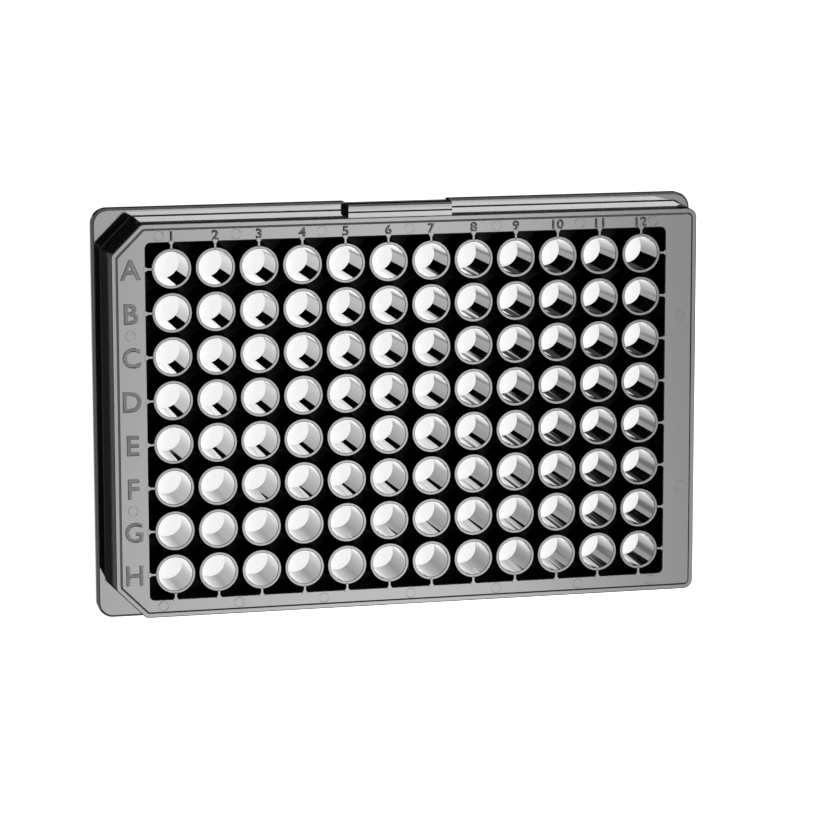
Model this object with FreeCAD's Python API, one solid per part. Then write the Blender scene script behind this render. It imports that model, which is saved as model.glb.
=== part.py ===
"""Black 96-well microplate with chimney wells and a clear film base.

The plate stands on its skirt. The origin is the middle of the footprint at the skirt's lower edge.
+X runs along the numbered columns, +Y points to row A and +Z points up.
"""

import FreeCAD
import Part
import math
import os

Vector = FreeCAD.Vector

# Well grid
COLUMNS = 12
ROWS = 8
PITCH = 9.00
A1_FROM_END = 14.38
A1_FROM_SIDE = 11.24

# Heights above the surface that the skirt stands on
PLATE_HEIGHT = 14.40
WELL_FLOOR_HEIGHT = 3.50
SKIRT_HEIGHT = 2.41
TALL_SKIRT_HEIGHT = 6.10

# Skirt and outer wall
SKIRT_CORNER_RADIUS = 3.30
TALL_SKIRT_LENGTH = 22.30
TALL_SKIRT_SETBACK = 0.25
LEDGE_WIDTH = 1.75
WALL_LEAN = 0.40
SHELL_WALL = 1.20
CORNER_CUT = 6.40
BODY_CORNER_RADIUS = 2.40

# Deck and the step that seats a lid
DECK_THICKNESS = 1.50
LID_STEP_DROP = 0.50
LID_STEP_WIDTH = 0.85
LID_STEP_SLOPE = 0.40
OPENING_MARGIN = 5.26
OPENING_CORNER_RADIUS = 1.00
OPENING_LEAN = 0.15
INNER_WALL = 1.10

# Chimney wells
WELL_TOP_DIAMETER = 6.96
WELL_BASE_DIAMETER = 6.58
CHIMNEY_DIAMETER = 8.20
FLOOR_THICKNESS = 1.50
RIB_THICKNESS = 0.50

# Clear base film
FILM_THICKNESS = 0.19
FILM_SETBACK = 0.40

# Sizes that follow from the ones above
GRID_HALF_X = PITCH * (COLUMNS - 1) / 2
GRID_HALF_Y = PITCH * (ROWS - 1) / 2
PLATE_HALF_X = GRID_HALF_X + A1_FROM_END
PLATE_HALF_Y = GRID_HALF_Y + A1_FROM_SIDE
OPENING_HALF_X = GRID_HALF_X + OPENING_MARGIN
OPENING_HALF_Y = GRID_HALF_Y + OPENING_MARGIN
WELL_DEPTH = PLATE_HEIGHT - WELL_FLOOR_HEIGHT
FLOOR_TOP = WELL_FLOOR_HEIGHT + FLOOR_THICKNESS
LID_STEP_HEIGHT = PLATE_HEIGHT - LID_STEP_DROP
DECK_UNDERSIDE = PLATE_HEIGHT - DECK_THICKNESS

# Share of an inset by which a 45 degree corner cut gets shorter
CUT_LOSS = 2 - math.sqrt(2)


def arc(centre_x, centre_y, radius, start, z):
    """A quarter circle that turns anticlockwise from the start angle, in degrees."""
    points = []
    for angle in (start, start + 45, start + 90):
        turn = math.radians(angle)
        points.append(Vector(centre_x + radius * math.cos(turn), centre_y + radius * math.sin(turn), z))
    return Part.Arc(points[0], points[1], points[2]).toShape()


def joined(pieces):
    """A closed outline of the given arcs and points, with a straight line across each gap between them."""
    ends = []
    for piece in pieces:
        if isinstance(piece, Vector):
            ends.append((piece, piece, None))
        else:
            ends.append((piece.Vertexes[0].Point, piece.Vertexes[-1].Point, piece))
    edges = []
    for index, (start, end, piece) in enumerate(ends):
        if piece is not None:
            edges.append(piece)
        edges.append(Part.makeLine(end, ends[(index + 1) % len(ends)][0]))
    return Part.Wire(edges)


def round_outline(half_x, half_y, radius, z):
    """A rectangle with four round corners."""
    x = half_x - radius
    y = half_y - radius
    return joined(
        [
            arc(x, y, radius, 0, z),
            arc(-x, y, radius, 90, z),
            arc(-x, -y, radius, 180, z),
            arc(x, -y, radius, 270, z),
        ]
    )


def body_outline(inset, z):
    """The outline above the skirt, this far inside the footprint, with its two corners at column 1 cut off."""
    half_x = PLATE_HALF_X - inset
    half_y = PLATE_HALF_Y - inset
    depth = inset - LEDGE_WIDTH
    radius = BODY_CORNER_RADIUS - depth
    cut = CORNER_CUT - CUT_LOSS * depth
    x = half_x - radius
    y = half_y - radius
    return joined(
        [
            arc(x, y, radius, 0, z),
            Vector(-half_x + cut, half_y, z),
            Vector(-half_x, half_y - cut, z),
            Vector(-half_x, -half_y + cut, z),
            Vector(-half_x + cut, -half_y, z),
            arc(x, -y, radius, 270, z),
        ]
    )


def prism(outline, height):
    """The solid that an outline sweeps on its way up."""
    return Part.Face(outline).extrude(Vector(0, 0, height))


def taper(lower, upper):
    """The solid between two like outlines at different heights."""
    return Part.makeLoft([lower, upper], True, True)


def box(x_low, x_high, y_low, y_high, z_low, z_high):
    """A block between two corners."""
    return Part.makeBox(x_high - x_low, y_high - y_low, z_high - z_low, Vector(x_low, y_low, z_low))


def well_centres():
    """The middle of every well, column by column from A1."""
    for column in range(COLUMNS):
        for row in range(ROWS):
            yield -GRID_HALF_X + column * PITCH, GRID_HALF_Y - row * PITCH


def tall_skirt(side, shrink):
    """The raised stretch of skirt in the middle of a long side, or shrunk by a wall, the pocket behind it."""
    half_length = TALL_SKIRT_LENGTH / 2 - shrink
    outer = PLATE_HALF_Y - TALL_SKIRT_SETBACK - shrink
    middle_of_wall = PLATE_HALF_Y - LEDGE_WIDTH - WALL_LEAN - SHELL_WALL / 2 - shrink
    low, high = sorted((side * middle_of_wall, side * outer))
    return box(-half_length, half_length, low, high, 0, TALL_SKIRT_HEIGHT - shrink)


def outer_form():
    """Everything inside the plate's outer faces: skirt, raised stretches, leaning wall, lid step and deck."""
    skirt = prism(round_outline(PLATE_HALF_X, PLATE_HALF_Y, SKIRT_CORNER_RADIUS, 0), SKIRT_HEIGHT)
    wall_top_inset = LEDGE_WIDTH + WALL_LEAN
    wall = taper(body_outline(LEDGE_WIDTH, SKIRT_HEIGHT), body_outline(wall_top_inset, LID_STEP_HEIGHT))
    step_foot = body_outline(wall_top_inset + LID_STEP_WIDTH, LID_STEP_HEIGHT)
    step_top = body_outline(wall_top_inset + LID_STEP_WIDTH + LID_STEP_SLOPE, PLATE_HEIGHT)
    deck = taper(step_foot, step_top)
    stretches = [tall_skirt(side, 0) for side in (-1, 1)]
    return skirt.fuse([wall, deck] + stretches)


def underside_hollow():
    """The space under the ledge and deck, round the block that holds the wells."""
    skirt = prism(
        round_outline(
            PLATE_HALF_X - SHELL_WALL,
            PLATE_HALF_Y - SHELL_WALL,
            SKIRT_CORNER_RADIUS - SHELL_WALL,
            0,
        ),
        SKIRT_HEIGHT - SHELL_WALL,
    )
    foot_inset = LEDGE_WIDTH + SHELL_WALL
    foot = prism(body_outline(foot_inset, 0), SKIRT_HEIGHT)
    wall = taper(body_outline(foot_inset, SKIRT_HEIGHT), body_outline(foot_inset + WALL_LEAN, DECK_UNDERSIDE))
    pockets = [tall_skirt(side, SHELL_WALL) for side in (-1, 1)]
    block = prism(
        round_outline(
            OPENING_HALF_X + INNER_WALL,
            OPENING_HALF_Y + INNER_WALL,
            OPENING_CORNER_RADIUS + INNER_WALL,
            WELL_FLOOR_HEIGHT,
        ),
        PLATE_HEIGHT,
    )
    return skirt.fuse([foot, wall] + pockets).cut(block)


def deck_opening():
    """The opening that the chimneys stand in, from the floor web up through the deck."""
    lower = round_outline(
        OPENING_HALF_X - OPENING_LEAN,
        OPENING_HALF_Y - OPENING_LEAN,
        OPENING_CORNER_RADIUS,
        FLOOR_TOP,
    )
    upper = round_outline(OPENING_HALF_X, OPENING_HALF_Y, OPENING_CORNER_RADIUS, PLATE_HEIGHT)
    return taper(lower, upper)


def chimney(x, y):
    """One well's outer wall, sunk through the floor web."""
    return Part.makeCylinder(CHIMNEY_DIAMETER / 2, WELL_DEPTH, Vector(x, y, WELL_FLOOR_HEIGHT))


def bore(x, y):
    """One well's inside, which narrows towards the film."""
    base = Vector(x, y, WELL_FLOOR_HEIGHT)
    return Part.makeCone(WELL_BASE_DIAMETER / 2, WELL_TOP_DIAMETER / 2, WELL_DEPTH, base)


def edge_ribs():
    """The thin ribs that tie each outermost chimney to the frame, on the lines of the rows and columns."""
    half = RIB_THICKNESS / 2
    into_chimney = (CHIMNEY_DIAMETER + WELL_TOP_DIAMETER) / 4
    into_frame = OPENING_MARGIN + INNER_WALL / 2
    middle_of_floor = WELL_FLOOR_HEIGHT + FLOOR_THICKNESS / 2
    ribs = []
    for x, y in well_centres():
        for side in (-1, 1):
            if math.isclose(y, side * GRID_HALF_Y):
                low, high = sorted((y + side * into_chimney, y + side * into_frame))
                ribs.append(box(x - half, x + half, low, high, middle_of_floor, PLATE_HEIGHT))
            if math.isclose(x, side * GRID_HALF_X):
                low, high = sorted((x + side * into_chimney, x + side * into_frame))
                ribs.append(box(low, high, y - half, y + half, middle_of_floor, PLATE_HEIGHT))
    return ribs


def well_frame():
    """The moulded black plate in one piece."""
    frame = outer_form().cut([underside_hollow(), deck_opening()])
    frame = frame.fuse([chimney(x, y) for x, y in well_centres()] + edge_ribs())
    frame = frame.cut([bore(x, y) for x, y in well_centres()])
    return frame.removeSplitter()


def base_film():
    """The clear film bonded across the underside of the floor web, which closes every well."""
    edge = INNER_WALL - FILM_SETBACK
    outline = round_outline(
        OPENING_HALF_X + edge,
        OPENING_HALF_Y + edge,
        OPENING_CORNER_RADIUS + edge,
        WELL_FLOOR_HEIGHT - FILM_THICKNESS,
    )
    return prism(outline, FILM_THICKNESS)


def main():
    os.makedirs("parts", exist_ok=True)
    for name, build in (("well_frame", well_frame), ("base_film", base_film)):
        shape = build()
        solids = shape.Solids
        print(name, "solids", len(solids), "valid", shape.isValid(), "volume", round(shape.Volume, 2))
        solids[0].exportStep(os.path.join("parts", name + ".step"))


main()
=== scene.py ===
"""Black 96-well microplate with chimney wells and a clear film base, dressed for its studio photograph.

Lengths in the classes are millimetres, in the frame of the CAD model: the plate stands on its skirt at z = 0,
+X runs along the numbered columns and +Y points to row A. Meshes are scaled to metres when they are made.
"""

import logging
import math
from dataclasses import dataclass
from enum import Enum

import bmesh
import bpy
from mathutils import Matrix, Vector


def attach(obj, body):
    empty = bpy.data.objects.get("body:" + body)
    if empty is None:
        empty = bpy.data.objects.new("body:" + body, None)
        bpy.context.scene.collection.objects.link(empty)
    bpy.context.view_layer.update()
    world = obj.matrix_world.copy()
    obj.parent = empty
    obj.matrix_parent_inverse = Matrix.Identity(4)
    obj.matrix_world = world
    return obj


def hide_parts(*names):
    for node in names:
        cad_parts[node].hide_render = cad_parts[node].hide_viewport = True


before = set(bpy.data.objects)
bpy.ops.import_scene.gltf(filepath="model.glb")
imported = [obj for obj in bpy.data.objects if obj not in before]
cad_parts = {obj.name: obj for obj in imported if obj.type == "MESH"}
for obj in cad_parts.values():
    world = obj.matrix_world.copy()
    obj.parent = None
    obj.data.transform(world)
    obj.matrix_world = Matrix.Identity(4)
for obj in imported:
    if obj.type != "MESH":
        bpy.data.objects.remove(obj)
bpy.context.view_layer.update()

MM = 0.001
BODY = "root"
NEAR_SIZE = 0.8  # share of the largest face's area from which a face counts as large as it
MERGE_DISTANCE = 0.0004  # millimetres within which two points of a mesh become one
TOLERANCE = 1e-4  # millimetres within which a point counts as on a line
CUT_LOSS = 2 - math.sqrt(2)  # share of an inset by which a 45 degree corner cut gets shorter
LOG = logging.getLogger("microplate")

Point = tuple[float, float, float]
Loop = list[Point]


class Slot(Enum):
    """The record's material slots."""

    POLYSTYRENE = "black_polystyrene"
    FILM = "clear_film"


class Node(Enum):
    """The CAD nodes that the pieces here stand for."""

    FRAME = "well_frame"
    FILM = "base_film"


class Outline(Enum):
    """The outlines that the rows of the shell follow."""

    SKIRT = "round corners all round"
    BODY = "round corners at column 12 and cut corners at column 1"
    OPENING = "the opening that the wells stand in"


# ---------------------------------------------------------------- colour and nodes


def linear(code: str) -> tuple[float, float, float, float]:
    """Turn an sRGB hex colour to linear light.

    Args:
        code: six hex digits after a hash sign.

    Returns:
        Red, green, blue and an alpha of 1.
    """
    shares = [int(code[i : i + 2], 16) / 255 for i in (1, 3, 5)]
    red, green, blue = [s / 12.92 if s <= 0.04045 else ((s + 0.055) / 1.055) ** 2.4 for s in shares]
    return red, green, blue, 1.0


def add_node(
    tree: bpy.types.NodeTree, kind: str, sockets: dict | None = None, **settings: object
) -> bpy.types.Node:
    """Add a node with its settings and links.

    Args:
        tree: the node tree that it goes into.
        kind: Blender's name for the kind of node.
        sockets: a value, or the output socket to link, for each input by name or number.
        settings: the node's own options.

    Returns:
        The new node.
    """
    node = tree.nodes.new(kind)
    for name, value in settings.items():
        setattr(node, name, value)
    for name, value in (sockets or {}).items():
        if isinstance(value, bpy.types.NodeSocket):
            tree.links.new(value, node.inputs[name])
        else:
            node.inputs[name].default_value = value
    return node


def new_material(name: str) -> tuple[bpy.types.Material, bpy.types.NodeTree, bpy.types.Node]:
    """Make an empty node material.

    Args:
        name: the real material's name.

    Returns:
        The material, its node tree and its output node.
    """
    material = bpy.data.materials.new(name)
    material.use_nodes = True
    tree = material.node_tree
    tree.nodes.clear()
    return material, tree, add_node(tree, "ShaderNodeOutputMaterial")


@dataclass(frozen=True)
class MouldedPolystyrene:
    """Carbon-black polystyrene as it leaves the mould.

    To the eye it is near black with a clear, uncoloured gloss, so all its tones are reflections. The
    tool's finish leaves a very shallow grain, and the melt's flow leaves wide, faint changes of gloss.
    """

    name: str
    colour: str = "#0b0b0c"
    roughness: float = 0.05
    roughness_spread: float = 0.015
    grain_mm: float = 0.45  # real spark grain is near 0.02 mm, drawn coarser so that it can show
    grain_height_mm: float = 0.0002
    flow_mm: float = 22.0
    flow_range: tuple[float, float] = (0.35, 0.65)  # the middle of the noise, where most of it lies
    refraction: float = 1.59

    def build(self) -> bpy.types.Material:
        """Make the material.

        Returns:
            The material, with its patterns in object space.
        """
        material, tree, output = new_material(self.name)
        place = add_node(tree, "ShaderNodeTexCoord").outputs["Object"]
        grain, flow = (
            add_node(tree, "ShaderNodeTexNoise", {"Vector": place, "Scale": 1 / (mm * MM), "Detail": detail})
            for mm, detail in ((self.grain_mm, 3.0), (self.flow_mm, 2.0))
        )
        gloss = add_node(
            tree,
            "ShaderNodeMapRange",
            {
                "Value": flow.outputs["Fac"],
                "From Min": self.flow_range[0],
                "From Max": self.flow_range[1],
                "To Min": self.roughness - self.roughness_spread,
                "To Max": self.roughness + self.roughness_spread,
            },
        )
        bump = add_node(
            tree,
            "ShaderNodeBump",
            {"Strength": 1.0, "Distance": self.grain_height_mm * MM, "Height": grain.outputs["Fac"]},
        )
        shader = add_node(
            tree,
            "ShaderNodeBsdfPrincipled",
            {
                "Base Color": linear(self.colour),
                "Roughness": gloss.outputs["Result"],
                "IOR": self.refraction,
                "Normal": bump.outputs["Normal"],
            },
        )
        tree.links.new(shader.outputs["BSDF"], output.inputs["Surface"])
        return material


@dataclass(frozen=True)
class ClearFilm:
    """Cast clear polystyrene film.

    To the eye it is a sheet that is there only by its faint gloss and a trace of haze. Light passes
    straight through it, so the white under the plate shows at the bottom of each well.
    """

    name: str = "clear_polystyrene_film"
    colour: str = "#a8adb0"
    haze: float = 0.03
    roughness: float = 0.04
    wave_mm: float = 9.0
    wave_height_mm: float = 0.002
    refraction: float = 1.59

    def build(self) -> bpy.types.Material:
        """Make the material.

        Returns:
            The material, see-through apart from its haze and gloss.
        """
        material, tree, output = new_material(self.name)
        place = add_node(tree, "ShaderNodeTexCoord").outputs["Object"]
        wave_scale = 1 / (self.wave_mm * MM)
        wave = add_node(tree, "ShaderNodeTexNoise", {"Vector": place, "Scale": wave_scale, "Detail": 1.0})
        bump = add_node(
            tree,
            "ShaderNodeBump",
            {"Strength": 1.0, "Distance": self.wave_height_mm * MM, "Height": wave.outputs["Fac"]},
        )
        shader = add_node(
            tree,
            "ShaderNodeBsdfPrincipled",
            {
                "Base Color": linear(self.colour),
                "Roughness": self.roughness,
                "IOR": self.refraction,
                "Alpha": self.haze,
                "Normal": bump.outputs["Normal"],
            },
        )
        tree.links.new(shader.outputs["BSDF"], output.inputs["Surface"])
        return material


# ---------------------------------------------------------------- meshes


def face_loops(
    mesh: bmesh.types.BMesh, loops: list[Loop], closed: bool = False, second_from: int | None = None
) -> list[list[bmesh.types.BMVert]]:
    """Join loops of points, each with as many points as the next, by rows of faces.

    Args:
        mesh: the mesh that they go into.
        loops: the loops in order.
        closed: whether the last loop joins the first again.
        second_from: the loop from which the faces take the piece's second finish.

    Returns:
        The vertices of each loop.
    """
    rows = [[mesh.verts.new(point) for point in loop] for loop in loops]
    pairs = list(zip(rows, rows[1:]))
    if closed:
        pairs.append((rows[-1], rows[0]))
    for number, (lower, upper) in enumerate(pairs):
        for i in range(len(lower)):
            j = (i + 1) % len(lower)
            face = mesh.faces.new((lower[i], lower[j], upper[j], upper[i]))
            face.material_index = int(second_from is not None and number >= second_from)
    return rows


def closed_stack(mesh: bmesh.types.BMesh, loops: list[Loop]) -> None:
    """Join loops of points into a solid with a flat face at each end.

    Args:
        mesh: the mesh that it goes into.
        loops: the loops from the lowest to the highest.
    """
    rows = face_loops(mesh, loops)
    mesh.faces.new(list(reversed(rows[0])))
    mesh.faces.new(rows[-1])


def rounding(
    radius: float, z: float, across: float, upward: float, angles: tuple[float, ...]
) -> list[tuple[float, float]]:
    """The points of a quarter round in a turned profile, between a steep wall and a level face.

    Args:
        radius: the wall's radius.
        z: the level face's height.
        across: how far the round reaches outward, or inward if negative.
        upward: how far it reaches up, or down if negative.
        angles: the points' angles in degrees, from 0 at the wall to 90 at the level face.

    Returns:
        Radius and height of each point.
    """
    turns = [math.radians(angle) for angle in angles]
    return [(radius + across * (1 - math.cos(t)), z + upward * (1 - math.sin(t))) for t in turns]


def shading_normals(mesh: bmesh.types.BMesh, crease: float) -> list[Vector]:
    """Work out the shading at each corner, so that flats mirror as flats and roundings as curves.

    Args:
        mesh: the mesh.
        crease: the angle in degrees above which two faces don't share their shading.

    Returns:
        For each corner, the direction of the largest face there, or the mean of those near its size.
    """
    limit = math.cos(math.radians(crease))
    areas = [face.calc_area() for face in mesh.faces]
    facing = [face.normal.copy() for face in mesh.faces]
    result = []
    for face in mesh.faces:
        own = facing[face.index]
        for corner in face.loops:
            near = [other.index for other in corner.vert.link_faces if facing[other.index].dot(own) > limit]
            large = NEAR_SIZE * max((areas[i] for i in near), default=0.0)
            result.append(sum((facing[i] for i in near if areas[i] >= large), Vector()).normalized())
    return result


def place_piece(
    name: str,
    mesh: bmesh.types.BMesh,
    finishes: list[bpy.types.Material],
    node: Node,
    crease: float = 38.0,
) -> None:
    """Turn a mesh in millimetres into a piece of the plate.

    Args:
        name: the piece's name.
        mesh: its mesh, which is freed here.
        finishes: its materials.
        node: the CAD node that the piece replaces.
        crease: the angle in degrees above which an edge stays sharp.
    """
    bmesh.ops.remove_doubles(mesh, verts=mesh.verts, dist=MERGE_DISTANCE)
    bmesh.ops.recalc_face_normals(mesh, faces=mesh.faces)
    mesh.faces.index_update()
    for face in mesh.faces:
        face.smooth = True
    normals = shading_normals(mesh, crease)
    bmesh.ops.scale(mesh, vec=(MM, MM, MM), verts=mesh.verts)
    data = bpy.data.meshes.new(name)
    mesh.to_mesh(data)
    mesh.free()
    data.normals_split_custom_set(normals)
    for finish in finishes:
        data.materials.append(finish)
    piece = bpy.data.objects.new(name, data)
    bpy.context.scene.collection.objects.link(piece)
    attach(piece, BODY)
    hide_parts(node.value)
    LOG.info("%s: %d faces", name, len(data.polygons))


@dataclass(frozen=True)
class PlateSizes:
    """The plate's main sizes, the same as in the CAD model."""

    columns: int = 12
    rows: int = 8
    pitch: float = 9.0
    half_length: float = 63.88
    half_width: float = 42.74
    height: float = 14.40
    web_bottom: float = 3.50
    web_top: float = 5.00
    opening_margin: float = 5.26

    @property
    def grid_half_x(self) -> float:
        """Distance from the middle to the wells of columns 1 and 12."""
        return self.pitch * (self.columns - 1) / 2

    @property
    def grid_half_y(self) -> float:
        """Distance from the middle to the wells of rows A and H."""
        return self.pitch * (self.rows - 1) / 2

    def wells(self) -> list[tuple[int, int, float, float]]:
        """List the wells.

        Returns:
            Column, row and middle of each, column by column from A1.
        """
        return [
            (c, r, -self.grid_half_x + c * self.pitch, self.grid_half_y - r * self.pitch)
            for c in range(self.columns)
            for r in range(self.rows)
        ]


@dataclass(frozen=True)
class Row:
    """One loop of the shell: how far inside its outline it runs and how high, also at the raised skirt."""

    outline: Outline
    inset: float
    z: float
    raised_inset: float | None = None
    raised_z: float | None = None
    inner: bool = False


@dataclass(frozen=True)
class PlateShell:
    """The moulded frame outside the wells: skirt, ledge, leaning wall, lid step, deck and opening."""

    sizes: PlateSizes
    finish: bpy.types.Material
    deck_height: float = 14.30  # the chimneys and the raised characters stand proud of it
    ledge_height: float = 2.41
    raised_height: float = 6.10  # the ledge where the skirt is raised
    step_height: float = 13.90
    deck_underside: float = 12.90
    wall: float = 1.20
    inner_wall: float = 1.10
    over_web: float = 0.01  # keeps the shell's lowest face off the web's own
    corner_steps: int = 12
    skirt_radius: float = 3.30
    body_radius: float = 2.40
    body_inset: float = 1.75
    corner_cut: float = 6.40
    cut_bend: float = 1.30
    bend_loss: float = 0.30  # share of an inset by which the bends get tighter
    opening_radius: float = 1.00
    raised_ends: tuple[float, ...] = (11.15, 11.0, 9.95, 9.80)  # foot and top outside, then inside

    def rows(self) -> list[Row]:
        """The shell's loops, from the skirt's foot out, up, across the deck and back underneath.

        Returns:
            The rows in order; the last joins the first.
        """
        skirt, body, opening = Outline.SKIRT, Outline.BODY, Outline.OPENING
        deck, step, under = self.deck_height, self.step_height, self.deck_underside
        ledge, raised, wall = self.ledge_height, self.raised_height, self.wall
        web = self.sizes.web_bottom + self.over_web
        return [
            Row(skirt, wall, 0.00, wall + 0.25, 0.00, inner=True),
            Row(skirt, 0.15, 0.00, 0.40, 0.00),
            Row(skirt, 0.04, 0.04, 0.29, 0.04),
            Row(skirt, 0.00, 0.15, 0.25, 0.15),
            Row(skirt, 0.00, ledge - 0.53, 0.25, raised - 0.47),
            Row(skirt, 0.03, ledge - 0.43, 0.28, raised - 0.38),
            Row(skirt, 0.10, ledge - 0.34, 0.34, raised - 0.30),
            Row(skirt, 0.40, ledge - 0.04, 0.60, raised - 0.03),
            Row(skirt, 0.46, ledge - 0.01, 0.66, raised - 0.01),
            Row(skirt, 0.54, ledge, 0.73, raised),
            Row(body, 1.56, ledge, 1.70, raised),
            Row(body, 1.65, ledge + 0.02, 1.78, raised + 0.02),
            Row(body, 1.72, ledge + 0.09, 1.85, raised + 0.10),
            Row(body, 1.764, ledge + 0.25, 1.889, raised + 0.26),
            Row(body, 2.14, step - 0.18),
            Row(body, 2.17, step - 0.07),
            Row(body, 2.24, step - 0.01),
            Row(body, 2.34, step),
            Row(body, 3.02, step),
            Row(body, 3.06, step + 0.02),
            Row(body, 3.35, deck - 0.05),
            Row(body, 3.39, deck - 0.015),
            Row(body, 3.45, deck),
            Row(opening, 0.24, deck),
            Row(opening, 0.12, deck - 0.03),
            Row(opening, 0.03, deck - 0.12),
            Row(opening, 0.00, deck - 0.26),
            Row(opening, -0.15, web),
            Row(opening, self.inner_wall, web),
            Row(opening, self.inner_wall, under),
            Row(body, 3.35, under),
            Row(body, 2.95, ledge - wall, 3.04, raised - wall, inner=True),
            Row(skirt, wall, ledge - wall, wall + 0.25, raised - wall, inner=True),
        ]

    def corner(self, row: Row, side_x: int, side_y: int) -> list[tuple[float, float]]:
        """The points of one corner, anticlockwise.

        Args:
            row: the row that the corner belongs to.
            side_x: 1 at column 12, -1 at column 1.
            side_y: 1 at row A, -1 at row H.

        Returns:
            As many points as every other corner has.
        """
        start = {(1, 1): 0, (-1, 1): 90, (-1, -1): 180, (1, -1): 270}[side_x, side_y]
        if row.outline is Outline.OPENING:
            half_x = self.sizes.grid_half_x + self.sizes.opening_margin + row.inset
            half_y = self.sizes.grid_half_y + self.sizes.opening_margin + row.inset
            radius = self.opening_radius + max(row.inset, 0)
        else:
            half_x = self.sizes.half_length - row.inset
            half_y = self.sizes.half_width - row.inset
            depth = row.inset - self.body_inset
            radius = self.body_radius - depth
            if row.outline is Outline.SKIRT:
                radius = self.skirt_radius - row.inset
        if row.outline is Outline.BODY and side_x < 0:
            cut = self.corner_cut - CUT_LOSS * depth
            return self.cut_corner(half_x, half_y, cut, self.cut_bend - self.bend_loss * depth, start)
        x, y = side_x * (half_x - radius), side_y * (half_y - radius)
        turns = [math.radians(start + 90 * i / self.corner_steps) for i in range(self.corner_steps + 1)]
        return [(x + radius * math.cos(turn), y + radius * math.sin(turn)) for turn in turns]

    def cut_corner(
        self, half_x: float, half_y: float, cut: float, bend: float, start: int
    ) -> list[tuple[float, float]]:
        """The points of a corner that is cut off at 45 degrees, with a small bend at each end.

        Args:
            half_x: half the outline's length.
            half_y: half the outline's width.
            cut: how far along each side the cut takes away.
            bend: the radius of the two bends.
            start: the direction that the outline faces before the corner, in degrees.

        Returns:
            The corner's points, anticlockwise.
        """
        half_steps = self.corner_steps // 2
        tangent = bend * math.tan(math.radians(22.5))
        corner_x = half_x * (1 if start in (0, 270) else -1)
        corner_y = half_y * (1 if start in (0, 90) else -1)
        first, last = math.radians(start), math.radians(start + 90)
        before = Vector((math.cos(first), math.sin(first)))
        after = Vector((math.cos(last), math.sin(last)))
        middle = (before + after).normalized()
        first_knee = Vector((corner_x, corner_y)) - after * cut
        second_knee = Vector((corner_x, corner_y)) - before * cut
        points = []
        for knee, facing, turn_from in ((first_knee, before, start), (second_knee, middle, start + 45)):
            along = Vector((-facing.y, facing.x))
            centre = knee - along * tangent - facing * bend
            for step in range(half_steps):
                turn = math.radians(turn_from + 45 * step / (half_steps - 1))
                points.append(tuple(centre + Vector((math.cos(turn), math.sin(turn))) * bend))
        on_cut = (Vector(points[half_steps - 1]) + Vector(points[half_steps])) / 2
        points.insert(half_steps, tuple(on_cut))
        return points

    def loop(self, row: Row) -> Loop:
        """All the points of a row, anticlockwise from the right side.

        Args:
            row: the row.

        Returns:
            Its points.
        """
        points: Loop = []
        for side_x, side_y in ((1, 1), (-1, 1), (-1, -1), (1, -1)):
            points.extend((x, y, row.z) for x, y in self.corner(row, side_x, side_y))
            if side_x == side_y:
                points.extend(self.long_side(row, side_y, points[-1][1]))
        return points

    def long_side(self, row: Row, side: int, flat_y: float) -> Loop:
        """The points of a row along one long side, at the ends of its raised skirt.

        Args:
            row: the row.
            side: 1 at row A, -1 at row H.
            flat_y: where the row runs beside the raised skirt.

        Returns:
            The points, anticlockwise.
        """
        ends = [side * x for x in self.raised_ends]
        ends += [-x for x in reversed(ends)]
        reach = self.raised_ends[2] if row.inner else self.raised_ends[0]
        points: Loop = []
        for x in ends:
            if row.raised_inset is not None and abs(x) < reach - TOLERANCE:
                points.append((x, side * (self.sizes.half_width - row.raised_inset), row.raised_z))
            else:
                points.append((x, flat_y, row.z))
        return points

    def build(self) -> None:
        """Make the shell."""
        mesh = bmesh.new()
        face_loops(mesh, [self.loop(row) for row in self.rows()], closed=True)
        place_piece("plate_shell", mesh, [self.finish], Node.FRAME)


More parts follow.
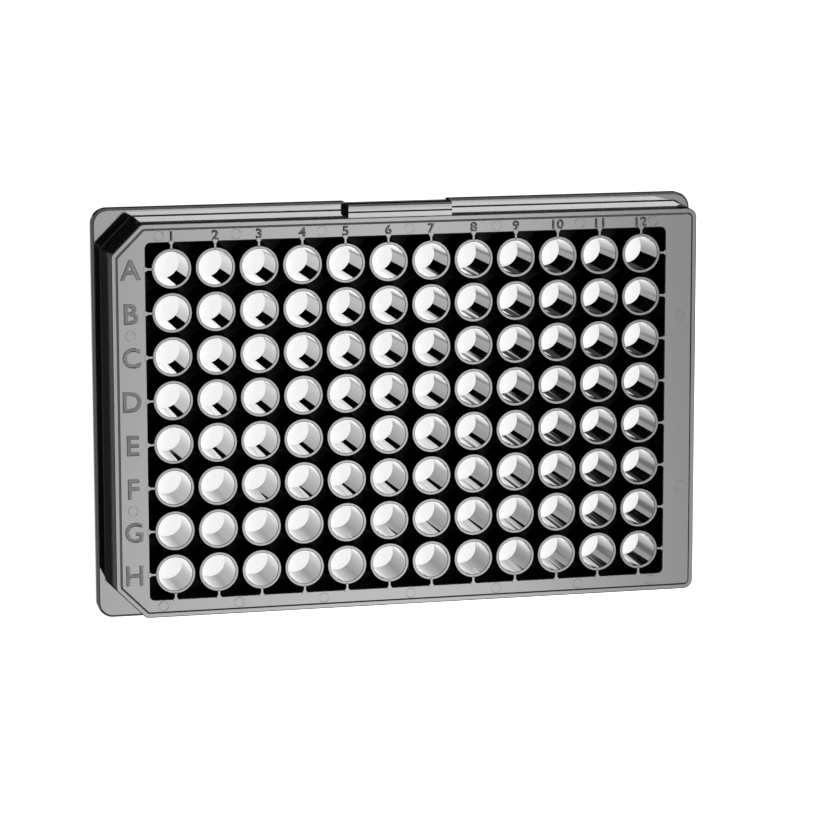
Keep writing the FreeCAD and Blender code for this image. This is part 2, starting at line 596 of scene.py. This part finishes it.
@dataclass(frozen=True)
class WellBlock:
    """The 96 chimney wells and the floor web that joins them, open through the bottom."""

    sizes: PlateSizes
    finish: bpy.types.Material
    outer_finish: bpy.types.Material
    steps: int = 48
    bore_top: float = 3.48
    bore_bottom: float = 3.29
    chimney: float = 4.10
    draft: float = 0.20
    inner_rounding: float = 0.12
    outer_rounding: float = 0.11
    foot_rounding: float = 0.18
    edge_in_wall: float = 0.50
    outside_from: int = 10  # the loop at which the rim's rounding ends and the chimney's outside begins
    crease: float = 50.0

    def profile(self) -> list[tuple[float, float]]:
        """Radius and height down the well's inside, over the rim and down the outside.

        Returns:
            The profile from the film to the web's upper side.
        """
        top = self.sizes.height
        inner, outer, foot = self.inner_rounding, self.outer_rounding, self.foot_rounding
        return [
            (self.bore_bottom, self.sizes.web_bottom),
            *rounding(self.bore_top, top, inner, -inner, (0, 22.5, 45, 67.5, 90)),
            *rounding(self.chimney, top, -outer, -outer, (90, 60, 30, 0)),
            *rounding(self.chimney + self.draft, self.sizes.web_top, foot, foot, (0, 45, 90)),
        ]

    def cell_edge(self, column: int, row: int, turn: float) -> tuple[float, float]:
        """Where the ray at this angle leaves the well's square of web, from the well's middle.

        Args:
            column: the well's column, from 0.
            row: the well's row, from 0.
            turn: the angle in radians.

        Returns:
            A point of the square, moved out into the shell's wall where the web ends.
        """
        half = self.sizes.pitch / 2
        spread = half / max(abs(math.cos(turn)), abs(math.sin(turn)))
        x = spread * math.cos(turn)
        y = spread * math.sin(turn)
        reach = self.sizes.opening_margin + self.edge_in_wall
        on_side = half - TOLERANCE
        if (column == 0 and x < -on_side) or (column == self.sizes.columns - 1 and x > on_side):
            x = math.copysign(reach, x)
        if (row == 0 and y > on_side) or (row == self.sizes.rows - 1 and y < -on_side):
            y = math.copysign(reach, y)
        return x, y

    def build(self) -> None:
        """Make the wells and the web."""
        mesh = bmesh.new()
        profile = self.profile()
        turns = [2 * math.pi * i / self.steps for i in range(self.steps)]
        for column, row, x, y in self.sizes.wells():
            square = [self.cell_edge(column, row, turn) for turn in turns]
            loops: list[Loop] = [[(x + a, y + b, self.sizes.web_bottom) for a, b in square]]
            for radius, z in profile:
                loops.append([(x + radius * math.cos(t), y + radius * math.sin(t), z) for t in turns])
            loops.append([(x + a, y + b, self.sizes.web_top) for a, b in square])
            rows = face_loops(mesh, loops, second_from=self.outside_from)
            self.close_edges(mesh, rows[0], rows[-1], x, y)
        finishes = [self.finish, self.outer_finish]
        place_piece("well_block", mesh, finishes, Node.FRAME, self.crease)

    def close_edges(
        self,
        mesh: bmesh.types.BMesh,
        low: list[bmesh.types.BMVert],
        high: list[bmesh.types.BMVert],
        x: float,
        y: float,
    ) -> None:
        """Close the web's outer edge beside one well.

        Args:
            mesh: the mesh.
            low: the vertices of the well's square under the web.
            high: the vertices of the same square on top of the web.
            x: the well's middle.
            y: the well's middle.
        """
        reach = self.sizes.opening_margin + self.edge_in_wall - TOLERANCE
        for i in range(self.steps):
            j = (i + 1) % self.steps
            ends = [(low[k].co.x - x, low[k].co.y - y) for k in (i, j)]
            if any(all(side * end[axis] > reach for end in ends) for axis in (0, 1) for side in (-1, 1)):
                mesh.faces.new((low[i], high[i], high[j], low[j]))


@dataclass(frozen=True)
class EdgeRibs:
    """The thin ribs that tie the outermost wells to the shell, with a flare where they meet it."""

    sizes: PlateSizes
    finish: bpy.types.Material
    half_thickness: float = 0.25
    flare: float = 0.30
    flare_length: float = 0.45
    start: float = 3.85
    into_wall: float = 0.45
    edge: float = 0.07
    flare_bend: tuple[float, float] = (0.4, 0.3)  # shares of the flare's length left and its width gained
    edge_bend: float = 0.3  # share of the edge at which its bevel bends

    def outline(self, shrink: float) -> list[tuple[float, float]]:
        """The rib seen from above, running along +X from its well's middle.

        Args:
            shrink: how far inside its full outline it runs.

        Returns:
            The outline's points, anticlockwise.
        """
        thin = self.half_thickness - shrink
        wide = self.half_thickness + self.flare - shrink
        wall = self.sizes.opening_margin
        left, gained = self.flare_bend
        side = [
            (self.start, thin),
            (wall - self.flare_length, thin),
            (wall - left * self.flare_length, thin + gained * self.flare),
            (wall, wide),
            (wall + self.into_wall, wide),
        ]
        return [(x, -y) for x, y in side] + [(x, y) for x, y in reversed(side)]

    def build(self) -> None:
        """Make all the ribs as one piece."""
        mesh = bmesh.new()
        for column, row, x, y in self.sizes.wells():
            for turn, outermost in (
                (0, column == self.sizes.columns - 1),
                (90, row == 0),
                (180, column == 0),
                (270, row == self.sizes.rows - 1),
            ):
                if outermost:
                    self.add_rib(mesh, x, y, turn)
        place_piece("edge_ribs", mesh, [self.finish], Node.FRAME)

    def add_rib(self, mesh: bmesh.types.BMesh, x: float, y: float, turn: int) -> None:
        """Add one rib.

        Args:
            mesh: the mesh.
            x: its well's middle.
            y: its well's middle.
            turn: the direction that it runs, in degrees.
        """
        cos, sin = math.cos(math.radians(turn)), math.sin(math.radians(turn))
        top = self.sizes.height
        foot = (self.sizes.web_bottom + self.sizes.web_top) / 2  # inside the web
        bend = self.edge_bend * self.edge
        levels = ((0.0, foot), (0.0, top - self.edge), (bend, top - bend), (self.edge, top))
        loops = [
            [(x + a * cos - b * sin, y + a * sin + b * cos, z) for a, b in self.outline(shrink)]
            for shrink, z in levels
        ]
        closed_stack(mesh, loops)


@dataclass(frozen=True)
class BaseFilm:
    """The clear film bonded under the web, which is the bottom of every well."""

    sizes: PlateSizes
    finish: bpy.types.Material
    beyond_opening: float = 0.70
    corner_radius: float = 1.70
    thickness: float = 0.19
    edge: float = 0.03
    under_web: float = 0.01  # keeps the film's upper face off the web's own
    corner_steps: int = 8

    def loop(self, shrink: float, z: float) -> Loop:
        """The film's outline at a height.

        Args:
            shrink: how far inside its full outline it runs.
            z: the height.

        Returns:
            The outline's points, anticlockwise.
        """
        half_x = self.sizes.grid_half_x + self.sizes.opening_margin + self.beyond_opening
        half_y = self.sizes.grid_half_y + self.sizes.opening_margin + self.beyond_opening
        radius = self.corner_radius - shrink
        points: Loop = []
        for start, side_x, side_y in ((0, 1, 1), (90, -1, 1), (180, -1, -1), (270, 1, -1)):
            for step in range(self.corner_steps + 1):
                turn = math.radians(start + 90 * step / self.corner_steps)
                x = side_x * (half_x - self.corner_radius) + radius * math.cos(turn)
                y = side_y * (half_y - self.corner_radius) + radius * math.sin(turn)
                points.append((x, y, z))
        return points

    def build(self) -> None:
        """Make the film."""
        mesh = bmesh.new()
        top = self.sizes.web_bottom - self.under_web
        low = self.sizes.web_bottom - self.thickness
        levels = ((self.edge, low), (0.0, low + self.edge), (0.0, top - self.edge), (self.edge, top))
        closed_stack(mesh, [self.loop(shrink, z) for shrink, z in levels])
        place_piece("base_film", mesh, [self.finish], Node.FILM)


@dataclass(frozen=True)
class DeckMarks:
    """The raised row letters and column numbers, and the round marks of the ejector pins."""

    sizes: PlateSizes
    finish: bpy.types.Material
    mark_finish: bpy.types.Material
    deck_height: float = 14.30
    letter_height: float = 4.20
    letter_x: float = -57.9
    letter_weight: float = 0.15
    number_height: float = 2.05
    number_y: float = 38.12
    number_weight: float = 0.10
    number_stretch: float = 1.12
    slope: float = 0.16
    rise: float = 0.06
    cap_share: float = 0.70  # about how high the font's capitals are for a size of 1
    half_core: float = 0.001  # half the flat edge left between the upper and lower slopes
    curve_steps: int = 4
    pin_columns: tuple[float, ...] = (-52.0, -36.2, -18.4, 0.0, 18.4, 36.2, 52.0)
    pin_y: float = 38.13
    side_pin: tuple[float, float] = (58.0, 18.0)
    pin_radius: float = 0.98
    pin_line: float = 0.18
    pin_rise: float = 0.008
    pin_sink: float = 0.05
    pin_steps: int = 40
    pin_crease: float = 80.0

    def build(self) -> None:
        """Make the characters and the pin marks."""
        for row in range(self.sizes.rows):
            y = self.sizes.grid_half_y - row * self.sizes.pitch
            letter = chr(ord("A") + row)
            name, middle = f"row_letter_{letter}", (self.letter_x, y)
            self.character(name, letter, middle, self.letter_height, self.letter_weight, 1.0)
        for column in range(self.sizes.columns):
            x = -self.sizes.grid_half_x + column * self.sizes.pitch
            number = str(column + 1)
            name, middle = f"column_number_{number}", (x, self.number_y)
            weight, stretch = self.number_weight, self.number_stretch
            self.character(name, number, middle, self.number_height, weight, stretch)
        self.pin_marks()

    def character(
        self, name: str, text: str, middle: tuple[float, float], height: float, weight: float, stretch: float
    ) -> None:
        """Raise one character from the deck, with sloping sides.

        Args:
            name: the piece's name.
            text: the character.
            middle: its middle, seen from above.
            height: its height.
            weight: how much each side of a stroke is widened.
            stretch: how much wider it is drawn than the font has it.
        """
        curve = bpy.data.curves.new(name, "FONT")
        curve.body = text
        curve.align_x = "CENTER"
        curve.size = height / self.cap_share
        curve.offset = weight - self.slope
        curve.extrude = self.half_core
        curve.bevel_depth = self.slope
        curve.bevel_resolution = 0
        curve.resolution_u = self.curve_steps
        maker = bpy.data.objects.new(name + "_maker", curve)
        bpy.context.scene.collection.objects.link(maker)
        bpy.context.view_layer.update()
        made = maker.evaluated_get(bpy.context.evaluated_depsgraph_get())
        data = bpy.data.meshes.new_from_object(made)
        bpy.data.objects.remove(maker)
        bpy.data.curves.remove(curve)
        mesh = bmesh.new()
        mesh.from_mesh(data)
        bpy.data.meshes.remove(data)
        low = [min(v.co[axis] for v in mesh.verts) for axis in range(3)]
        high = [max(v.co[axis] for v in mesh.verts) for axis in range(3)]
        middle_x, middle_y = (low[0] + high[0]) / 2, (low[1] + high[1]) / 2
        fit = height / (high[1] - low[1])
        for vert in mesh.verts:
            share = vert.co.z / high[2]
            vert.co.x = middle[0] + (vert.co.x - middle_x) * fit * stretch
            vert.co.y = middle[1] + (vert.co.y - middle_y) * fit
            vert.co.z = self.deck_height + self.rise * share
        place_piece(name, mesh, [self.mark_finish], Node.FRAME)

    def pin_marks(self) -> None:
        """Make the faint rings that the ejector pins left on the deck."""
        mesh = bmesh.new()
        places = [(x, side * self.pin_y) for x in self.pin_columns for side in (-1, 1)]
        places += [(i * self.side_pin[0], j * self.side_pin[1]) for i in (-1, 1) for j in (-1, 1)]
        inner, outer = self.pin_radius - self.pin_line / 2, self.pin_radius + self.pin_line / 2
        foot, deck = self.deck_height - self.pin_sink, self.deck_height
        section = (
            (inner, foot),
            (inner, deck),
            (self.pin_radius, deck + self.pin_rise),
            (outer, deck),
            (outer, foot),
        )
        turns = [2 * math.pi * i / self.pin_steps for i in range(self.pin_steps)]
        for x, y in places:
            loops = [[(x + r * math.cos(t), y + r * math.sin(t), z) for t in turns] for r, z in section]
            face_loops(mesh, loops, closed=True)
        finishes = [self.finish]
        place_piece("ejector_marks", mesh, finishes, Node.FRAME, self.pin_crease)


# ---------------------------------------------------------------- studio


@dataclass(frozen=True)
class Ramp:
    """A smooth change of brightness along one direction of the studio's plan."""

    direction: tuple[float, float]
    start: float
    end: float
    share_before: float
    share_after: float


ALONG_X = (1.0, 0.0)
ALONG_Y = (0.0, 1.0)
SLANTED = (1.0, 0.9)


@dataclass(frozen=True)
class Panel:
    """A lit panel that hangs over the plate and faces straight down."""

    name: str
    radiance: float
    middle: tuple[float, float]
    size: tuple[float, float]
    ramps: tuple[Ramp, ...] = ()


@dataclass(frozen=True)
class Studio:
    """The pale floor, the world, the hanging lights and the light table that the wells mirror.

    The plate is black and glossy, so its tones are what it mirrors. The light table, the panel and card
    behind it and the mask round the plate's foot are there for mirror-like surfaces alone.
    """

    sizes: PlateSizes
    window_margin: float = 3.4
    floor_half: float = 1500.0
    floor_colour: str = "#e9e9e9"
    floor_glow: float = 0.90
    world_glow: float = 1.0
    room_glow: float = 0.05
    horizon_glow: float = 1.9
    horizon_heights: tuple[float, float] = (0.16, 0.46)
    panel_height: float = 600.0
    panels: tuple[Panel, ...] = (
        Panel(  # what the deck mirrors
            "softbox",
            9.6,
            (145.0, -105.0),
            (260.0, 190.0),
            (
                Ramp(ALONG_X, -60.0, 135.0, 0.62, 1.0),
                Ramp(ALONG_X, 140.0, 270.0, 1.0, 0.52),
                Ramp(ALONG_Y, -180.0, -30.0, 1.0, 0.9),
            ),
        ),
        # what the ledge and the long wall at row A throw to each other
        Panel("back_strip", 25.0, (145.0, 155.0), (240.0, 40.0)),
        Panel("front_strip", 17.5, (145.0, 72.0), (240.0, 36.0)),
        Panel("side_light", 15.0, (445.0, -223.0), (230.0, 214.0)),
        Panel("left_card", 0.45, (-190.0, -80.0), (140.0, 300.0)),
    )
    table_drop: float = 190.0
    table_half: float = 700.0
    table_edge_y: float = 42.9
    table_edge_fall: float = 0.1045
    table_radiance: float = 1.75
    table_ramps: tuple[Ramp, ...] = (
        Ramp(ALONG_X, -85.0, -45.0, 1.25, 1.0),
        Ramp(ALONG_X, -48.0, -6.0, 0.92, 1.12),
        Ramp(ALONG_Y, -80.0, -45.0, 1.08, 1.0),
    )
    # a painted shadow across the light table's glow: a darker band that the wells' walls mirror
    table_painted_shadow: tuple[Ramp, ...] = (
        Ramp(ALONG_X, -46.0, -34.0, 0.0, 1.0),
        Ramp(ALONG_X, -27.0, -12.0, 1.0, 0.0),
        Ramp(ALONG_Y, -72.0, -38.0, 0.0, 1.0),
        Ramp(ALONG_Y, -8.0, 16.0, 0.5, 0.0),
    )
    back_half: float = 1400.0
    back_drop: float = 700.0
    back_radiance: float = 2.6
    back_ramps: tuple[Ramp, ...] = (
        Ramp(SLANTED, 310.0, 345.0, 1.0, 0.05),
        Ramp(ALONG_Y, 240.0, 256.0, 1.0, 0.0),
    )
    card_drop: float = 540.0
    card_edge_x: float = -10.0
    mask_drop: float = 1.0
    mask_overlap: float = 0.5  # how far the mask reaches under the floor
    side_glow: float = 0.165
    side_ramps: tuple[Ramp, ...] = (Ramp(ALONG_X, -63.9, -63.7, 1.0, 0.0),)
    leak_glow: float = 0.36
    leak_widths: tuple[float, float] = (0.55, 0.20)

    def build(self) -> None:
        """Make the whole studio."""
        self.floor()
        self.light_table()
        self.back_panel()
        self.table_mask()
        for panel in self.panels:
            self.hang(panel)
        self.world()
        LOG.info("studio: floor, light table, mask, %d hanging panels and world", len(self.panels))

    def staged(
        self, name: str, points: Loop, faces: list[tuple[int, ...]], finish: bpy.types.Material
    ) -> bpy.types.Object:
        """Add a flat piece of the studio.

        Args:
            name: its name.
            points: its corners in millimetres.
            faces: the corners of each face.
            finish: its material.

        Returns:
            The stage object.
        """
        data = bpy.data.meshes.new(name)
        data.from_pydata([(x * MM, y * MM, z * MM) for x, y, z in points], [], faces)
        data.materials.append(finish)
        thing = bpy.data.objects.new(name, data)
        bpy.context.scene.collection.objects.link(thing)
        return thing

    def floor(self) -> None:
        """Lay the floor, with a window under the plate that mirror-like surfaces look through."""
        material, tree, output = new_material("matt_white_paper")
        colour = add_node(tree, "ShaderNodeBsdfDiffuse", {"Color": linear(self.floor_colour)})
        amounts = {0: self.seen_by_camera(tree), 1: self.floor_glow}
        amount = add_node(tree, "ShaderNodeMath", amounts, operation="MULTIPLY")
        glow = add_node(tree, "ShaderNodeEmission", {"Strength": amount.outputs[0]})
        both = add_node(tree, "ShaderNodeAddShader", {0: colour.outputs[0], 1: glow.outputs[0]})
        tree.links.new(both.outputs[0], output.inputs["Surface"])
        far = self.floor_half
        x = self.sizes.half_length + self.window_margin
        y = self.sizes.half_width + self.window_margin
        outer = [(-far, -far, 0.0), (far, -far, 0.0), (far, far, 0.0), (-far, far, 0.0)]
        inner = [(-x, -y, 0.0), (x, -y, 0.0), (x, y, 0.0), (-x, y, 0.0)]
        ring = [(i, (i + 1) % 4, 4 + (i + 1) % 4, 4 + i) for i in range(4)]
        self.staged("floor", outer + inner, ring, material)
        window = self.staged("floor_window", inner, [(0, 1, 2, 3)], material)
        window.visible_glossy = False

    def seen_by_camera(self, tree: bpy.types.NodeTree) -> bpy.types.NodeSocket:
        """Tell rays from the camera, straight or through clear things, from all others.

        Args:
            tree: the node tree that it goes into.

        Returns:
            The socket that is 1 for them and 0 for others.
        """
        ray = add_node(tree, "ShaderNodeLightPath").outputs
        kinds = {0: ray["Is Camera Ray"], 1: ray["Is Transmission Ray"]}
        return add_node(tree, "ShaderNodeMath", kinds, operation="MAXIMUM").outputs[0]

    def mirrored_only(self, thing: bpy.types.Object) -> None:
        """Keep a piece of the studio for mirror-like surfaces alone: it neither shows nor lights the floor.

        Args:
            thing: the piece.
        """
        thing.visible_camera = False
        thing.visible_diffuse = False
        thing.visible_transmission = False
        thing.visible_shadow = False

    def glowing(
        self, name: str, radiance: float, ramps: tuple[Ramp, ...] = (), shade: tuple[Ramp, ...] = ()
    ) -> bpy.types.Material:
        """Make a material that glows by ramps multiplied together, less a shade made in the same way.

        Args:
            name: the material's name.
            radiance: how bright a share of 1 is.
            ramps: the ramps of the glow.
            shade: the ramps of the share that the shade takes away.

        Returns:
            The material.
        """
        material, tree, output = new_material(name)
        place = add_node(tree, "ShaderNodeNewGeometry").outputs["Position"]
        strength = self.product(tree, place, radiance, ramps)
        if shade:
            taken = {0: 1.0, 1: self.product(tree, place, 1.0, shade)}
            left = add_node(tree, "ShaderNodeMath", taken, operation="SUBTRACT").outputs[0]
            shaded = {0: strength, 1: left}
            strength = add_node(tree, "ShaderNodeMath", shaded, operation="MULTIPLY").outputs[0]
        glow = add_node(tree, "ShaderNodeEmission", {"Strength": strength})
        tree.links.new(glow.outputs[0], output.inputs["Surface"])
        return material

    def product(
        self, tree: bpy.types.NodeTree, place: bpy.types.NodeSocket, start: float, ramps: tuple[Ramp, ...]
    ) -> bpy.types.NodeSocket | float:
        """Multiply a number by ramps across the studio.

        Args:
            tree: the node tree that they go into.
            place: the position that the ramps run along.
            start: the number.
            ramps: the ramps.

        Returns:
            The product's socket, or the number itself where there is no ramp.
        """
        result: bpy.types.NodeSocket | float = start
        for ramp in ramps:
            sides = {0: place, 1: (*ramp.direction, 0.0)}
            along = add_node(tree, "ShaderNodeVectorMath", sides, operation="DOT_PRODUCT")
            share = add_node(
                tree,
                "ShaderNodeMapRange",
                {
                    "Value": along.outputs["Value"],
                    "From Min": ramp.start * MM,
                    "From Max": ramp.end * MM,
                    "To Min": ramp.share_before,
                    "To Max": ramp.share_after,
                },
                interpolation_type="SMOOTHSTEP",
            )
            factors = {0: result, 1: share.outputs["Result"]}
            result = add_node(tree, "ShaderNodeMath", factors, operation="MULTIPLY").outputs[0]
        return result

    def light_table(self) -> None:
        """Set the light table under the floor, which ends at a straight edge behind row A, with a painted
        shadow across its glow.
        """
        material = self.glowing("light_table_sheet", self.table_radiance, self.table_ramps, self.table_painted_shadow)
        half, z = self.table_half, -self.table_drop
        edge, fall = self.table_edge_y, self.table_edge_fall * self.table_half
        corners = [(-half, -half, z), (half, -half, z), (half, edge - fall, z), (-half, edge + fall, z)]
        self.mirrored_only(self.staged("light_table", corners, [(0, 1, 2, 3)], material))

    def back_panel(self) -> None:
        """Set the lit panel that the wells see past the table's edge, and a dark card before it."""
        panel = self.glowing("back_panel_sheet", self.back_radiance, self.back_ramps)
        card = self.glowing("back_card", 0.0)
        half = self.back_half
        for name, drop, right, finish in (
            ("back_panel", self.back_drop, half, panel),
            ("back_card", self.card_drop, self.card_edge_x, card),
        ):
            corners = [(-half, -half, -drop), (right, -half, -drop), (right, half, -drop), (-half, half, -drop)]
            self.mirrored_only(self.staged(name, corners, [(0, 1, 2, 3)], finish))

    def table_mask(self) -> None:
        """Set a dark frame round the plate's foot, which its outer walls mirror, and the light beside it."""
        dark = self.glowing("mask_card", self.side_glow, self.side_ramps)
        leak = self.glowing("light_leak", self.leak_glow)
        x, y, z = self.sizes.half_length, self.sizes.half_width, -self.mask_drop
        reach = self.window_margin + self.mask_overlap
        rings = [
            [(-x - a, -y - b, z), (x + a, -y - b, z), (x + a, y + b, z), (-x - a, y + b, z)]
            for a, b in ((0.0, 0.0), self.leak_widths, (reach, reach))
        ]
        sides = [(4 + i, 4 + (i + 1) % 4, (i + 1) % 4, i) for i in range(4)]
        for name, inner, faces, finish in (
            ("table_mask", 1, sides, dark),
            ("mask_gap", 0, sides[2:], leak),
            ("mask_lip", 0, sides[:2], dark),
        ):
            self.mirrored_only(self.staged(name, rings[inner] + rings[inner + 1], faces, finish))

    def hang(self, panel: Panel) -> None:
        """Hang a lit panel out of the camera's sight.

        Args:
            panel: the panel.
        """
        material = self.glowing(panel.name + "_cloth", panel.radiance, panel.ramps)
        x, y = panel.size[0] / 2, panel.size[1] / 2
        corners = [
            (panel.middle[0] + a, panel.middle[1] + b, self.panel_height)
            for a, b in ((-x, -y), (-x, y), (x, y), (x, -y))
        ]
        self.staged(panel.name, corners, [(0, 1, 2, 3)], material).visible_camera = False

    def world(self) -> None:
        """Make the world: pale to the camera, and to all else bright at the horizon and dim overhead."""
        world = bpy.data.worlds.new("studio_room")
        bpy.context.scene.world = world
        world.use_nodes = True
        tree = world.node_tree
        tree.nodes.clear()
        output = add_node(tree, "ShaderNodeOutputWorld")
        place = add_node(tree, "ShaderNodeTexCoord").outputs["Generated"]
        height = add_node(tree, "ShaderNodeSeparateXYZ", {0: place}).outputs["Z"]
        room = add_node(
            tree,
            "ShaderNodeMapRange",
            {
                "Value": height,
                "From Min": self.horizon_heights[0],
                "From Max": self.horizon_heights[1],
                "To Min": self.horizon_glow,
                "To Max": self.room_glow,
            },
            interpolation_type="SMOOTHSTEP",
        )
        choice = {0: self.seen_by_camera(tree), 2: room.outputs["Result"], 3: self.world_glow}
        strength = add_node(tree, "ShaderNodeMix", choice, data_type="FLOAT")
        sky = add_node(tree, "ShaderNodeBackground", {"Strength": strength.outputs[0]})
        tree.links.new(sky.outputs[0], output.inputs["Surface"])


@dataclass(frozen=True)
class PhotoCamera:
    """The camera at the photograph's viewing angle."""

    location: Point = (-170.934, 126.470, 723.619)
    target: Point = (0.79, -0.39, 14.40)
    roll: float = -0.103
    lens: float = 155.87
    sensor: float = 36.0
    clip_metres: tuple[float, float] = (0.01, 20.0)

    def build(self) -> None:
        """Make the camera, with row A at the top of its picture."""
        data = bpy.data.cameras.new("photo_camera")
        data.lens = self.lens
        data.sensor_width = self.sensor
        data.clip_start, data.clip_end = self.clip_metres
        camera = bpy.data.objects.new("photo_camera", data)
        bpy.context.scene.collection.objects.link(camera)
        forward = (Vector(self.target) - Vector(self.location)).normalized()
        right = forward.cross(Vector((0.0, 1.0, 0.0))).normalized()
        up = right.cross(forward)
        roll = Matrix.Rotation(math.radians(self.roll), 3, "Z")
        turn = Matrix((right, up, -forward)).transposed() @ roll
        camera.matrix_world = Matrix.Translation(Vector(self.location) * MM) @ turn.to_4x4()
        bpy.context.scene.camera = camera
        LOG.info("camera at %s mm", self.location)


def main() -> None:
    """Build the plate and the studio."""
    logging.basicConfig(level=logging.INFO, format="%(name)s: %(message)s")
    bpy.context.scene.view_settings.view_transform = "Standard"
    sizes = PlateSizes()
    # plain moulded faces: flat enough to mirror the lights as even greys
    frame_finish = MouldedPolystyrene("moulded_black_polystyrene", colour="#121213").build()
    # the bores, off polished core pins: the sharpest mirrors on the plate
    well_finish = MouldedPolystyrene(
        "core_polished_black_polystyrene", roughness=0.035, roughness_spread=0.01
    ).build()
    # the chimneys' outsides and the web, off spark-eroded steel: matt. Their colour is darker than the rest of
    # the plate's and
    # the index is set below the plastic's own 1.59 because the gaps between the wells are near black in the
    # photograph:
    # both are painted shade in the gaps between the wells.
    chimney_finish = MouldedPolystyrene(
        "spark_finished_black_polystyrene_painted_shade",
        colour="#050505",
        roughness=0.45,
        roughness_spread=0.05,
        grain_height_mm=0.003,
        refraction=1.18,
    ).build()
    # the characters, off an engraved tool: a softer gloss, so they read as mid grey on the deck
    mark_finish = MouldedPolystyrene(
        "engraved_tool_black_polystyrene", colour="#181818", roughness=0.27, roughness_spread=0.03
    ).build()
    film_finish = ClearFilm().build()
    PlateShell(sizes, frame_finish).build()
    WellBlock(sizes, well_finish, chimney_finish).build()
    EdgeRibs(sizes, frame_finish).build()
    DeckMarks(sizes, frame_finish, mark_finish).build()
    BaseFilm(sizes, film_finish).build()
    Studio(sizes).build()
    PhotoCamera().build()


if __name__ == "__main__":
    main()
